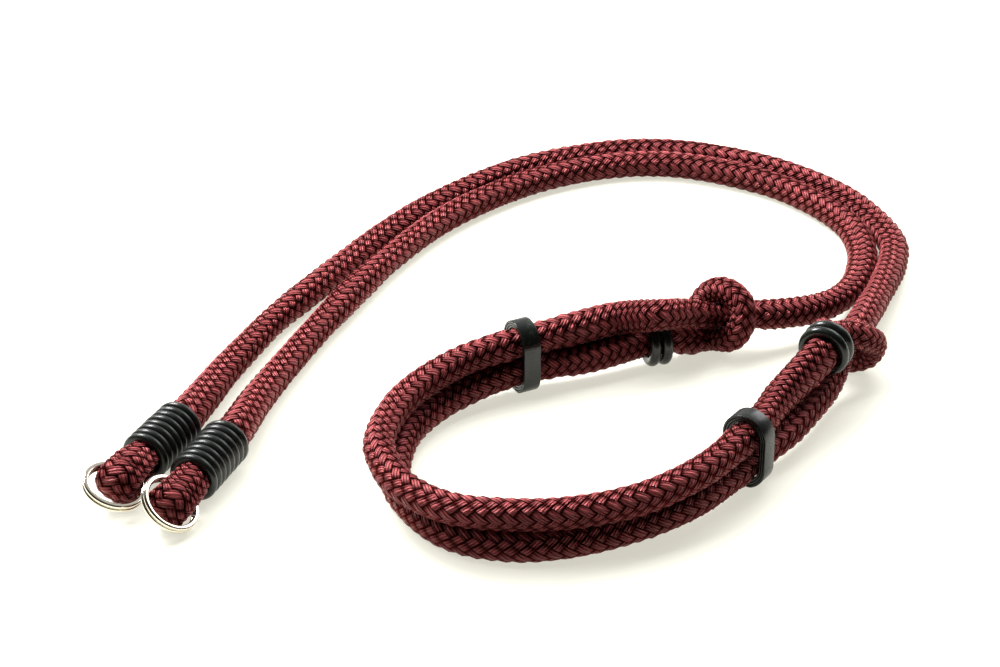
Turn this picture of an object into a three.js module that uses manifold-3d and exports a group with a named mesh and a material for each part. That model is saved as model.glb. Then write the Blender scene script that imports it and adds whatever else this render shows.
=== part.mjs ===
// Adjustable braided-rope camera strap, lying on a surface. Millimetres, +Z up.
// Two ropes run side by side from their split rings, and close a wrist loop by hitching round each other.
import * as THREE from 'three';
import { mergeVertices } from 'three/addons/utils/BufferGeometryUtils.js';
import Module from 'manifold-3d';

// Driving dimensions
const clearance = 0.3; // between pieces that touch
// Further room for the facets in a hitch, under it, between two strands, and where one lies on the other
const slack = { facets: 0.45, floor: 0.05, strands: 0.4, stack: 0.15 };
const ropeR = 5; // rope radius where nothing squeezes it
const ropeSides = 12;
const knotR = 4.1; // rope radius along a hitch, where it is pulled tight
const heartR = 3.8; // radius of the rope inside a hitch
const whipR = 5.3; // rope radius under the whipping
const runStep = 16; // longest step of a rope's tube
const turnStep = 4; // longest step in a hitch
const leadIn = 4; // how far before its hitch a rope starts to tighten
const straightHalf = 4; // half of the straight stretch through a band, a pair of rings or a hitch
const searches = 2000; // points tried to find the nearest one on a centre line

const whip = { count: 8, wire: 2.7 }; // rubber rings stacked over each rope end
// Radius of the rope against the distance behind its whipping, thick where the folded tail is buried
const splice = [
  [3, 6.5],
  [20, 6.05],
  [38, 5.5],
  [56, 5.2],
  [75, ropeR],
];
// Radius of a rope against the distance from the middle of the hitch that it goes through
const squeeze = [
  [-12, ropeR],
  [-7, heartR],
  [8, heartR],
  [13, ropeR],
];
const stopWire = 3.5; // rubber of the paired stop rings
const stopPitch = 4.2;
const band = { wall: 2, width: 6 };
const leftLift = 0.7; // the loop's left band is held a little off the surface
const coil = { outerR: 10.1, radial: 1.8, axial: 1.25, chamfer: 0.25, step: 1.45, steps: 60 };
const winding = { whole: 660, stepFrom: 300, stepTo: 360, tip: 150 }; // degrees of the split rings' wire
const sides = { wire: 8, whipping: 18, stopRing: 24, corner: 6, bandEnd: 12 };
const eye = { halfWidth: 6.5, halfHeight: 7.4, round: 3.8, back: 0.4, length: 21.3 };
const slot = { height: 4.4, length: 6.6, behind: 1.6 }; // the eye's opening, starting behind its ring's wire
const neckHalf = { behind: 1, ahead: 3 }; // the rope's run into the eye

// Heights of a rope's centre line above the surface
const lie = ropeR * Math.cos(Math.PI / ropeSides);
const whipZ = whipR + clearance + whip.wire;
const turnR = heartR + knotR + clearance + slack.facets;
const knotZ = turnR + knotR + slack.floor;
const stopZ = ropeR + clearance + stopWire;
const strandGap = 2 * ropeR + slack.strands; // between the centres of the two strands of the loop
const bandLow = ropeR + clearance + band.wall;
const upper = lie + strandGap + slack.stack;

// Each rope's hitch round the other: the middle of the rope inside it, the way that rope runs away from the
// loop, whether the hitch starts above or below, and its turn as pairs of angle round and distance along
const hitches = {
  outer: {
    at: [68.5, -5, knotZ],
    heading: [0.974, 0.226, 0],
    up: -1,
    turn: [[0, -4.5], [45, 0.3], [90, 3.3], [135, 4.2], [180, 1.5], [225, -2.5], [270, -6], [300, -7.5]],
  },
  inner: {
    at: [108, -24.5, knotZ],
    heading: [0.365, 0.931, 0],
    up: 1,
    turn: [[0, -9], [45, -4], [90, 3], [135, 5], [180, 4.5], [225, 3], [270, 1.5], [310, 0.5]],
  },
};

// Flat bands round both strands of the loop
const bands = {
  left: { at: [-0.8, -33, bandLow + leftLift], heading: [0.894, 0.447, 0] },
  right: { at: [70.4, -89.8, bandLow], heading: [0.56, 0.828, 0] },
};

// Pairs of rubber rings on the strand that goes into each hitch
const stops = {
  low: { at: [44.4, -15.3, stopZ], heading: [0.96, 0.28, 0] },
  high: { at: [98.7, -45.4, 23.2], heading: [0.45, 0.89, 0.03] },
};

// Rope ends: heading of the whipping, pitch of its rings, roll of the eye, and the distance to its split ring
const ends = {
  outer: { heading: [-0.414, -0.91, 0], pitch: 2.98, roll: -22, ringAt: 9 },
  inner: { heading: [-0.368, -0.93, 0], pitch: 3.12, roll: -40, ringAt: 5.6 },
};

// A straight stretch of a centre line through a band or a pair of rings, forwards or backwards
function straight({ at, heading }, way, lift = 0) {
  const along = new THREE.Vector3(...heading).normalize();
  const middle = new THREE.Vector3(...at);
  return [-way * straightHalf, way * straightHalf].map((s) => [
    middle.x + s * along.x,
    middle.y + s * along.y,
    middle.z + s * along.z + lift,
  ]);
}

// Centre lines from the front of the whipping to the hitch
const outerRoute = [
  [-121.5, -89.5, whipZ],
  [-116.3, -78, whipZ],
  [-110.9, -66.2, whipZ],
  [-109, -60, 7.9],
  [-105.5, -48.5, 7],
  [-100.5, -31.5, 5.9],
  [-93.5, -13, 5.3],
  [-86.5, 4.5, lie],
  [-71.5, 31.5, lie],
  [-51.5, 65.5, lie],
  [-30, 94, lie],
  [-0.5, 120, lie],
  [30, 133, lie],
  [49.5, 135.5, lie],
  [68, 132.5, lie],
  [97.5, 118.5, lie],
  [122.2, 93, lie],
  [133.6, 60.3, lie],
  [132, 46, 5.2],
  [126.5, 26, 7.5],
  [114.5, -8.5, 11.5],
  ...straight(hitches.inner, -1),
  [99.6, -45, 8.3],
  [91.5, -61, 8.2],
  [83.5, -74, 7.8],
  ...straight(bands.right, -1),
  [53, -111.5, 6.8],
  [35, -123, 5.4],
  [13, -131.8, lie],
  [-5, -133.8, lie],
  [-24, -127, lie],
  [-39.5, -104, lie],
  [-41.5, -91, lie],
  [-38, -68.5, lie],
  [-26.5, -50, 5.2],
  [-12, -39, 7.1],
  ...straight(bands.left, 1),
  [21, -25.6, 8],
  ...straight(stops.low, 1),
  [57.5, -9.2, 4.9],
];
const innerRoute = [
  [-105, -102, whipZ],
  [-100, -89.4, whipZ],
  [-94.9, -76.5, whipZ],
  [-93, -70, 7.9],
  [-88.5, -51, 6.3],
  [-84.5, -38, 5.6],
  [-78.5, -21.5, 5.3],
  [-66.5, 9, 5],
  [-48, 49, lie],
  [-27.5, 81, lie],
  [2.5, 109, lie],
  [29.5, 122, lie],
  [49, 125, lie],
  [67.5, 121.5, lie],
  [97, 105, lie],
  [118.2, 76.3, lie],
  [122, 56.5, lie],
  [119, 35.5, 5.6],
  [111.3, 17, 7.6],
  [100.5, 4.5, 9.8],
  [82.5, -4, 12.3],
  ...straight(hitches.outer, -1),
  [54.5, -15.2, 19],
  [45, -23.2, 23],
  [31, -18, 18.9],
  [15, -25, 18.5],
  ...straight(bands.left, -1, strandGap),
  [-21, -42.5, 16.5],
  [-38.5, -63, upper],
  [-46.5, -90, upper],
  [-44.5, -102.5, upper],
  [-38.5, -116.5, upper],
  [-23.5, -129, upper],
  [-5, -132.5, upper],
  [13, -131.5, upper],
  [34.5, -125, 16],
  [54.5, -111, 17.4],
  ...straight(bands.right, 1, strandGap),
  [82.5, -67, 18],
  [88.5, -59, 19.8],
  ...straight(stops.high, 1),
];

function paint(color, roughness, metalness) {
  return new THREE.MeshStandardMaterial({ color, roughness, metalness });
}

const materials = {
  rope: () => paint(0x5c1420, 0.75, 0),
  rubber: () => paint(0x1b1d1c, 0.45, 0),
  nickel: () => paint(0xd9d7d2, 0.18, 1),
};

const strap = new THREE.Group();

function addPiece(name, geometry, material) {
  const piece = new THREE.Mesh(geometry, material());
  piece.name = name;
  strap.add(piece);
  return piece;
}

function regularSection(count) {
  const corners = [];
  for (let i = 0; i < count; i++) {
    const angle = ((i + 0.5) * 2 * Math.PI) / count;
    corners.push(new THREE.Vector2(Math.cos(angle), Math.sin(angle)));
  }
  return new THREE.Shape(corners);
}

// Points of one rope's turn round the other, from straight below or above it
function hitchPoints({ at, heading, up, turn }) {
  const centre = new THREE.Vector3(...at);
  const along = new THREE.Vector3(...heading).normalize();
  const side = along.clone().cross(new THREE.Vector3(0, 0, 1));
  return turn.map(([degrees, distance]) => {
    const angle = THREE.MathUtils.degToRad(degrees);
    return centre
      .clone()
      .addScaledVector(along, distance)
      .addScaledVector(side, turnR * Math.sin(angle))
      .add(new THREE.Vector3(0, 0, up * turnR * Math.cos(angle)));
  });
}

function between(table, x) {
  const next = table.findIndex((row) => row[0] > x);
  if (next < 0) return table[table.length - 1][1];
  if (next === 0) return table[0][1];
  const [low, high] = [table[next - 1], table[next]];
  return low[1] + ((high[1] - low[1]) * (x - low[0])) / (high[0] - low[0]);
}

// A rope's centre line. Its frames are as long as the rope's radius, so a unit section gives the true tube.
class RopePath extends THREE.CatmullRomCurve3 {
  constructor(route, pitch, hitch, passes, straights) {
    const turn = hitchPoints(hitch);
    super([...route.map((p) => new THREE.Vector3(...p)), ...turn], false, 'centripetal');
    this.arcLengthDivisions = searches;
    this.loose = (route.length - 1) / (this.points.length - 1);
    const length = this.getLength();
    const turnAt = this.lengthTo(turn[0], 0.8) - leadIn;
    const passAt = this.lengthTo(new THREE.Vector3(...passes.at), 0, 0.8);
    const bare = whip.count * pitch + clearance;
    this.turnAt = turnAt;
    this.radii = [
      [0, whipR],
      [bare, whipR],
      ...splice.map(([distance, radius]) => [bare + distance, radius]),
      ...squeeze.map(([distance, radius]) => [passAt + distance, radius]),
      [turnAt - 2 * leadIn, ropeR],
      [turnAt, knotR],
      [length, knotR],
    ];
    // Stations of the tube: at each change of radius, at both ends of each straight, and evenly between those
    const middles = straights.map(({ at }) => this.lengthTo(new THREE.Vector3(...at)));
    const edges = middles.flatMap((middle) => [middle - straightHalf, middle + straightHalf]);
    const pins = [...this.radii.map((row) => row[0]), ...edges];
    this.lengths = [0];
    for (const pin of pins.sort((p, q) => p - q).slice(1)) {
      const from = this.lengths.at(-1);
      const steps = Math.ceil((pin - from) / (from < turnAt - 2 * leadIn ? runStep : turnStep));
      for (let i = 1; i <= steps; i++) this.lengths.push(from + ((pin - from) * i) / steps);
    }
  }

  // The rope's underside never sinks below the surface
  getPoint(t, target = new THREE.Vector3()) {
    super.getPoint(t, target);
    if (t < this.loose) target.z = Math.max(target.z, lie);
    return target;
  }

  // Length from the start to the point of the line nearest to a given one
  lengthTo(point, from = 0, to = 1) {
    let best = { distance: Infinity };
    for (let i = 0; i <= searches; i++) {
      const u = from + ((to - from) * i) / searches;
      const distance = this.getPointAt(u).distanceTo(point);
      if (distance < best.distance) best = { distance, u };
    }
    return best.u * this.getLength();
  }

  getSpacedPoints() {
    return this.lengths.map((length) => this.getPointAt(length / this.getLength()));
  }

  computeFrenetFrames() {
    const frames = { tangents: [], normals: [], binormals: [] };
    const up = new THREE.Vector3(0, 0, 1);
    let side = new THREE.Vector3();
    for (const length of this.lengths) {
      const tangent = this.getTangentAt(length / this.getLength());
      const level = length <= this.turnAt;
      side = level ? up.clone().cross(tangent) : side.clone().addScaledVector(tangent, -side.dot(tangent));
      side.normalize();
      const radius = between(this.radii, length);
      frames.tangents.push(tangent);
      frames.normals.push(side.clone().multiplyScalar(radius));
      frames.binormals.push(tangent.clone().cross(side).multiplyScalar(radius));
    }
    return frames;
  }
}

// Frame of a rope end: x towards the tip, y up out of the flat of the eye, z across it
function endFrame(route, { heading, roll }) {
  const forward = new THREE.Vector3(...heading).normalize();
  const up = new THREE.Vector3(0, 0, 1).applyAxisAngle(forward, THREE.MathUtils.degToRad(roll));
  const frame = new THREE.Matrix4().makeBasis(forward, up, forward.clone().cross(up));
  return frame.setPosition(new THREE.Vector3(...route[0]));
}

// The rope folded back through its split ring, with a slot across it for the ring's wire
function eyeGeometry(ringAt) {
  const { halfWidth, halfHeight, round, back, length } = eye;
  const inset = halfHeight - round;
  const nose = length - round;
  const outline = new THREE.Shape();
  outline.moveTo(back + round, -inset);
  outline.lineTo(nose - inset, -inset);
  outline.absarc(nose - inset, 0, inset, -Math.PI / 2, Math.PI / 2, false);
  outline.lineTo(back + round, inset);
  outline.closePath();
  const start = ringAt - slot.behind;
  const opening = new THREE.Shape();
  opening.moveTo(start, -slot.height / 2);
  opening.lineTo(start + slot.length, -slot.height / 2);
  opening.lineTo(start + slot.length, slot.height / 2);
  opening.lineTo(start, slot.height / 2);
  opening.closePath();
  const bevel = { bevelThickness: round, bevelSize: round, bevelSegments: 3 };
  const depth = 2 * (halfWidth - round);
  const body = new THREE.ExtrudeGeometry(outline, { depth, curveSegments: sides.corner, ...bevel });
  const hole = new THREE.ExtrudeGeometry(opening, { depth: 3 * halfWidth, bevelEnabled: false });
  body.translate(0, 0, -depth / 2);
  hole.translate(0, 0, -1.5 * halfWidth);
  return { body, hole };
}

const wasm = await Module();
wasm.setup();

function toSolid(geometry) {
  const bare = geometry.clone();
  bare.deleteAttribute('uv');
  bare.deleteAttribute('normal');
  const merged = mergeVertices(bare, 1e-4);
  return new wasm.Manifold(new wasm.Mesh({
    numProp: 3,
    vertProperties: new Float32Array(merged.attributes.position.array),
    triVerts: new Uint32Array(merged.index.array),
  }));
}

function toGeometry(solid) {
  const mesh = solid.getMesh();
  const geometry = new THREE.BufferGeometry();
  geometry.setAttribute('position', new THREE.BufferAttribute(new Float32Array(mesh.vertProperties), 3));
  geometry.setIndex(new THREE.BufferAttribute(new Uint32Array(mesh.triVerts), 1));
  geometry.computeVertexNormals();
  return geometry;
}

function addRope(name, path, frame, ringAt) {
  const steps = path.lengths.length - 1;
  const tube = toSolid(new THREE.ExtrudeGeometry(regularSection(ropeSides), { steps, extrudePath: path }));
  const { body, hole } = eyeGeometry(ringAt);
  const fold = toSolid(body.applyMatrix4(frame));
  const gap = toSolid(hole.applyMatrix4(frame));
  const neck = new THREE.CylinderGeometry(whipR, whipR, neckHalf.behind + neckHalf.ahead, ropeSides);
  neck.rotateZ(Math.PI / 2).translate((neckHalf.ahead - neckHalf.behind) / 2, 0, 0);
  const whole = tube.add(toSolid(neck.applyMatrix4(frame))).add(fold);
  addPiece(name, toGeometry(whole.subtract(gap)), materials.rope);
}

// A rubber ring round a rope, square to its way
function addRubberRing(name, centre, along, innerR, wire, around) {
  const geometry = new THREE.TorusGeometry(innerR + wire / 2, wire / 2, sides.wire, around);
  const ring = addPiece(name, geometry, materials.rubber);
  ring.position.copy(centre);
  ring.quaternion.setFromUnitVectors(new THREE.Vector3(0, 0, 1), along);
}

function addWhipping(name, path, pitch) {
  for (let i = 0; i < whip.count; i++) {
    const u = ((i + 0.5) * pitch) / path.getLength();
    const [centre, along] = [path.getPointAt(u), path.getTangentAt(u)];
    addRubberRing(`${name}_${i + 1}`, centre, along, whipR + clearance, whip.wire, sides.whipping);
  }
}

function addStopRings(name, { at, heading }) {
  const along = new THREE.Vector3(...heading).normalize();
  for (const [i, offset] of [-stopPitch / 2, stopPitch / 2].entries()) {
    const centre = new THREE.Vector3(...at).addScaledVector(along, offset);
    addRubberRing(`${name}_${i + 1}`, centre, along, ropeR + clearance, stopWire, sides.stopRing);
  }
}

// A flat rubber band round both strands of the loop
function addBand(name, { at, heading }) {
  const innerR = ropeR + clearance;
  const oval = (shape, radius) => {
    shape.absarc(0, strandGap / 2, radius, 0, Math.PI, false);
    shape.absarc(0, -strandGap / 2, radius, Math.PI, 2 * Math.PI, false);
    shape.closePath();
    return shape;
  };
  const section = oval(new THREE.Shape(), innerR + band.wall);
  section.holes.push(oval(new THREE.Path(), innerR));
  const options = { depth: band.width, bevelEnabled: false, curveSegments: sides.bandEnd };
  const geometry = new THREE.ExtrudeGeometry(section, options);
  geometry.translate(0, 0, -band.width / 2);
  const along = new THREE.Vector3(...heading).normalize();
  const up = new THREE.Vector3(0, 0, 1);
  geometry.applyMatrix4(new THREE.Matrix4().makeBasis(up.clone().cross(along), up, along));
  const piece = addPiece(name, geometry, materials.rubber);
  piece.position.set(at[0], at[1], at[2] + strandGap / 2);
}

// Flat wire wound nearly twice round: one turn low, a short step up, one turn high
class CoilPath extends THREE.Curve {
  constructor() {
    super();
    this.midR = coil.outerR - coil.radial / 2;
  }

  getPoint(t, target = new THREE.Vector3()) {
    const degrees = winding.whole * t;
    const angle = THREE.MathUtils.degToRad(degrees);
    const rise = THREE.MathUtils.smoothstep(degrees, winding.stepFrom, winding.stepTo);
    return target.set(this.midR * Math.cos(angle), this.midR * Math.sin(angle), coil.step * (rise - 0.5));
  }

  computeFrenetFrames(steps) {
    const frames = { tangents: [], normals: [], binormals: [] };
    const up = new THREE.Vector3(0, 0, 1);
    for (let i = 0; i <= steps; i++) {
      const tangent = this.getTangentAt(i / steps).setZ(0).normalize();
      const side = up.clone().cross(tangent);
      frames.tangents.push(tangent);
      frames.normals.push(side);
      frames.binormals.push(up.clone());
    }
    return frames;
  }
}

function addSplitRing(name, frame, ringAt) {
  const [w, h, c] = [coil.radial / 2, coil.axial / 2, coil.chamfer];
  const half = [[w, c - h], [w, h - c], [w - c, h], [c - w, h]];
  const corners = [...half, ...half.map(([x, y]) => [-x, -y])];
  const section = new THREE.Shape(corners.map((corner) => new THREE.Vector2(...corner)));
  const geometry = new THREE.ExtrudeGeometry(section, { steps: coil.steps, extrudePath: new CoilPath() });
  geometry.rotateZ(THREE.MathUtils.degToRad(winding.tip));
  geometry.rotateX(-Math.PI / 2);
  geometry.translate(ringAt + coil.outerR - coil.radial / 2, 0, 0);
  addPiece(name, geometry.applyMatrix4(frame), materials.nickel);
}

// What each rope runs straight through
const outerStraights = [bands.left, bands.right, stops.low];
const innerStraights = [bands.left, bands.right, stops.high];
const outerPath = new RopePath(outerRoute, ends.outer.pitch, hitches.outer, hitches.inner, outerStraights);
const innerPath = new RopePath(innerRoute, ends.inner.pitch, hitches.inner, hitches.outer, innerStraights);
const outerFrame = endFrame(outerRoute, ends.outer);
const innerFrame = endFrame(innerRoute, ends.inner);

addRope('rope_outer', outerPath, outerFrame, ends.outer.ringAt);
addRope('rope_inner', innerPath, innerFrame, ends.inner.ringAt);
addWhipping('whipping_outer', outerPath, ends.outer.pitch);
addWhipping('whipping_inner', innerPath, ends.inner.pitch);
addStopRings('stop_ring_low', stops.low);
addStopRings('stop_ring_high', stops.high);
addBand('band_left', bands.left);
addBand('band_right', bands.right);
addSplitRing('split_ring_outer', outerFrame, ends.outer.ringAt);
addSplitRing('split_ring_inner', innerFrame, ends.inner.ringAt);

export default strap;
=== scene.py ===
import bpy
import math
import numpy as np
from mathutils import Matrix, Quaternion, Vector
from mathutils.kdtree import KDTree


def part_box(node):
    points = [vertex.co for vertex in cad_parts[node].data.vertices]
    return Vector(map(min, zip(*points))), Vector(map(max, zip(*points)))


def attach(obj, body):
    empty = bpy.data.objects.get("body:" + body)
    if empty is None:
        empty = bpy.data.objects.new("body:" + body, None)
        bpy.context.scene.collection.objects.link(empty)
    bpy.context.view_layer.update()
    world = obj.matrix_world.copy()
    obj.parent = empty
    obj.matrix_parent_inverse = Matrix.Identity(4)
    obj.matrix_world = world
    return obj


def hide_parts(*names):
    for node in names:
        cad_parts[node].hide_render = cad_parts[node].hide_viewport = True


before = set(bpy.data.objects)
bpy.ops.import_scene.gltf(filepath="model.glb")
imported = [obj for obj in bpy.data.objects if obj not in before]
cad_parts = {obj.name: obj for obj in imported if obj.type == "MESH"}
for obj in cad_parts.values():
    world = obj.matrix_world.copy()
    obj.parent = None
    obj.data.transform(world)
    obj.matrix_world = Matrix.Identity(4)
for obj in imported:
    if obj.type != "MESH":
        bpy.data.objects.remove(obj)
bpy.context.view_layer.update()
mm = 0.001
upwards = Vector((0, 0, 1))

# A long lens about a metre away, looking along +Y and 30 degrees down
cameraSetup = {"lens": 108, "aim": (-8.2, 4.2, 0), "distance": 1038, "down": 30, "clip": (0.02, 20)}


def addCamera():
    data = bpy.data.cameras.new("camera")
    data.lens = cameraSetup["lens"]
    data.clip_start, data.clip_end = cameraSetup["clip"]
    camera = bpy.data.objects.new("camera", data)
    bpy.context.scene.collection.objects.link(camera)
    down = math.radians(cameraSetup["down"])
    back = Vector((0, -math.cos(down), math.sin(down)))
    camera.location = (Vector(cameraSetup["aim"]) + back * cameraSetup["distance"]) * mm
    camera.rotation_euler = (math.pi / 2 - down, 0, 0)
    bpy.context.scene.camera = camera


addCamera()
print("camera placed")

# Everything below is in millimetres, until it is placed
rope = {
    "across": 10,  # the thickness stated for the cord
    "loopRadius": 5.35,  # to the crest of the stitches, a little fuller in the loop, where it is slack
    "loopFrom": 24,  # past the middle of the hitch that the rope goes through
    "whippedRadius": 5.3,  # where its whipping ends
    "hitchRadius": 4.75,
    "hitchTurn": 8.65,  # radius of a hitch's centre line round the other rope
    "hitchAfter": 700,  # length of rope that comes before its own hitch
    "hitchLead": 4,
    "hitchTaper": 8,
    "passAfter": 100,  # length of rope that comes before the hitch that it goes through
    "passPart": 0.8,  # and the part of the whole rope within which it does
    "pushedBefore": 60,  # pushed together from this much before that hitch
    "straightHalf": 4,
    "rest": 4.83,  # height of the centre line where the rope lies on the surface
    "gap": 10.4,  # between the centre lines of the two strands of the loop
    "slack": 0.15,  # more gap where no band holds them
    "relief": 0.62,  # from the crest down to the grooves between stitches
    "pressed": 0.35,  # how much of the relief is left where the ropes press on each other
    "pressedWithin": 1.12,  # radii, past which the relief is whole
    "lowest": 0.03,  # stitches are flattened at this height above the surface
    "stated": 6,  # a spacing of points along the centre line
}

# Radius of the rope behind its whipping, thick where the folded tail is buried
splice = [(3, 6.5), (20, 6.05), (38, 5.55), (56, 5.25), (75, 5.15)]
# Radius of a rope on both sides of the middle of the hitch that it goes through
squeeze = [(-44, 5.15), (-32, 5.5), (-14, 5.5), (-6, 4.65), (6, 4.65), (12, 5.15)]

# Heights of the middles of the whippings, the bands and the low stop rings
whipZ, bandZ, stopZ = 8.3, 7.3, 8.8

# A hitch turns round the other rope: degrees round it, and how far along it
hitches = {
    "outer": {
        "at": (68.5, -5, 12.8),
        "heading": (0.974, 0.226, 0),
        "up": -1,
        "turn": [
            (0, -4.5),
            (45, 0.3),
            (90, 3.3),
            (135, 4.2),
            (180, 1.5),
            (225, -2.5),
            (270, -6),
            (300, -7.5),
        ],
    },
    "inner": {
        "at": (108, -24.5, 12.8),
        "heading": (0.365, 0.931, 0),
        "up": 1,
        "turn": [
            (0, -9),
            (45, -4),
            (90, 3),
            (135, 5),
            (180, 4.5),
            (225, 3),
            (270, 1.5),
            (310, 0.5),
        ],
    },
}
bands = {
    "left": {"at": (-0.8, -33, bandZ + 0.7), "heading": (0.894, 0.447, 0)},
    "right": {"at": (70.4, -89.8, bandZ), "heading": (0.56, 0.828, 0)},
}
stops = {
    "low": {"at": (44.4, -15.3, stopZ), "heading": (0.96, 0.28, 0)},
    "high": {"at": (98.7, -45.4, 23.2), "heading": (0.45, 0.89, 0.03)},
}
ends = {
    "outer": {
        "at": (-121.5, -89.5, whipZ),
        "heading": (-0.414, -0.91, 0),
        "pitch": 2.98,  # from one ring of the whipping to the next
        "roll": -22,  # degrees that the fold is turned about the rope
        "ringAt": 9,  # where the split ring goes through the fold, in front of the whipping
    },
    "inner": {
        "at": (-105, -102, whipZ),
        "heading": (-0.368, -0.93, 0),
        "pitch": 3.12,
        "roll": -40,
        "ringAt": 5.6,
    },
}

# Both ropes are slack and thicker between the low stop rings and the left band
slackStretch = {
    "outer": {"at": (25, -24, 8), "radius": [(-22, 5.35), (-10, 5.7), (12, 5.7), (20, 5.35)]},
    "inner": {"at": (26, -19.3, 18.6), "radius": [(-26, 5.35), (-16, 5.8), (16, 5.85), (24, 5.35)]},
}
# The inner rope bulges where it goes into the high stop rings
bulge = {
    "at": stops["high"]["at"],
    "radius": [(-36, 5.35), (-28, 5.9), (-10, 6.3), (-5, 6.3), (-3.9, 5.9), (-3.2, 5.4), (4, 5.3)],
}
# The two ropes are full where they lie against each other in the far bend
farBend = {
    "outer": {"at": (132.5, 50, 5), "radius": [(-34, 5.15), (-14, 5.6), (14, 5.6), (34, 5.15)]},
    "inner": {"at": (121.5, 50, 5), "radius": [(-34, 5.15), (-14, 5.6), (10, 5.6), (24, 5.15)]},
}
# They are full too where they come together behind their ends
meeting = {
    "outer": {"at": (-73, 29, 5), "radius": [(-22, 5.2), (-12, 5.55), (8, 5.55), (24, 5.15)]},
    "inner": {"at": (-60, 24, 5), "radius": [(-22, 5.2), (-12, 5.55), (8, 5.55), (24, 5.15)]},
}
# Both swell on either side of a band
besideBand = [(-14, 5.35), (-6.5, 5.75), (-4, 5.35), (4, 5.35), (6.5, 5.75), (14, 5.35)]
# Stitches per pitch: closer round a split ring, and wherever the rope is pushed together
foldStitches = [(-44, 1), (-30, 2.3), (-12, 1.9), (-2, 1)]
hitchStitches = [(-2, 1), (8, 1.5)]
pushedTogether = {
    "outer": [{"at": (25, -24, 7.5), "stitches": [(-20, 1), (-12, 1.25), (12, 1.25), (20, 1)]}],
    "inner": [
        {"at": (92, 0, 11), "stitches": [(-24, 1), (-12, 1.32), (16, 1.32), (30, 1)]},
        {"at": (57, -12, 17), "stitches": [(-8, 1), (-4, 0.8), (4, 0.8), (6, 1)]},
        {"at": (44, -22, 22.5), "stitches": [(-10, 1), (-5, 2), (6, 2.1), (14, 1)]},
        {"at": (88.5, -59, 19.8), "stitches": [(-26, 1), (-18, 1.3), (12, 1.3), (20, 1)]},
    ],
}


def straight(place, way, lift=0):
    # two points of a rope that runs straight through a band, a pair of rings or a hitch
    along = Vector(place["heading"]).normalized()
    middle = Vector(place["at"]) + upwards * lift
    half = rope["straightHalf"] * way
    return [middle - half * along, middle + half * along]


# Heights of the centre lines on the surface, and of the loop's upper strand
rest = rope["rest"]
upper = rest + rope["gap"] + rope["slack"]
outerRoute = [
    (-110.9, -66.2, whipZ),
    (-109, -60, 7.9),
    (-105.5, -48.5, 7),
    (-100.5, -31.5, 5.9),
    (-93.5, -13, 5.3),
    (-86.5, 4.5, rest),
    (-71.5, 31.5, rest),
    (-51.5, 65.5, rest),
    (-30, 94, rest),
    (-0.5, 120, rest),
    (30, 133, rest),
    (49.5, 135.5, rest),
    (68, 132.5, rest),
    (97.5, 118.5, rest),
    (122.2, 93, rest),
    (133.6, 60.3, rest),
    (132, 46, 5.2),
    (126.5, 26, 7.5),
    (114.5, -8.5, 11.5),
    *straight(hitches["inner"], -1),
    (99.6, -45, 8.3),
    (91.5, -61, 8.2),
    (83.5, -74, 7.8),
    *straight(bands["right"], -1),
    (53, -111.5, 6.8),
    (35, -123, 5.4),
    (13, -131.8, rest),
    (-5, -133.8, rest),
    (-24, -127, rest),
    (-39.5, -104, rest),
    (-41.5, -91, rest),
    (-38, -68.5, rest),
    (-26.5, -50, 5.2),
    (-12, -39, 7.1),
    *straight(bands["left"], 1),
    (21, -25.6, 8),
    *straight(stops["low"], 1),
    (57.5, -9.2, 4.9),
]
innerRoute = [
    (-94.9, -76.5, whipZ),
    (-93, -70, 7.9),
    (-88.5, -51, 6.3),
    (-84.5, -38, 5.6),
    (-78.5, -21.5, 5.3),
    (-66.5, 9, 5),
    (-48, 49, rest),
    (-27.5, 81, rest),
    (2.5, 109, rest),
    (29.5, 122, rest),
    (49, 125, rest),
    (67.5, 121.5, rest),
    (97, 105, rest),
    (118.2, 76.3, rest),
    (122, 56.5, rest),
    (119, 35.5, 5.6),
    (111.3, 17, 7.6),
    (100.5, 4.5, 9.8),
    (82.5, -4, 12.3),
    *straight(hitches["outer"], -1),
    (54.5, -15.2, 19),
    (45, -23.2, 23),
    (31, -18, 18.9),
    (15, -25, 18.5),
    *straight(bands["left"], -1, rope["gap"]),
    (-21, -42.5, 16.5),
    (-38.5, -63, upper),
    (-46.5, -90, upper),
    (-44.5, -102.5, upper),
    (-38.5, -116.5, upper),
    (-23.5, -129, upper),
    (-5, -132.5, upper),
    (13, -131.5, upper),
    (34.5, -125, 16),
    (54.5, -111, 17.4),
    *straight(bands["right"], 1, rope["gap"]),
    (82.5, -67, 18),
    (88.5, -59, 19.8),
    *straight(stops["high"], 1),
]

# The fold of each rope round its split ring: x forwards from the whipping, y up out of its flat
fold = {
    "leg": [(-14, 2.6), (-5, 2.7)],
    "front": (0.5, 3.1),  # where the rope comes out of its whipping
    "overRing": 4.3,  # height of the centre line over the ring's wire
    "overNose": 3.75,
    "noseFrom": 2.2,  # before the middle of the nose
    "nose": 17.6,
    "noseRadius": 3.72,
    "noseSteps": range(-90, 91, 30),  # degrees
    "tail": (-14, 0.9),
    "tailSection": (5.1, 2.5),  # half its width and half its thickness
    "frontAfter": 30,  # length of rope that comes before the whipping's front
    "behind": 0.5,  # from the last ring to the rope's round section
}
# Half the width and half the thickness of the flattened strand, from the front of its whipping
foldSection = [
    (-41, 5.2, 2.6),
    (-34, 6.3, 3.2),
    (-26, 7.2, 3.6),
    (-20, 7.3, 3.55),
    (-14, 7.1, 3.6),
    (-6, 6.5, 3.2),
    (0, 5.6, 2.9),
    (6, 5.3, 3),
]


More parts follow.
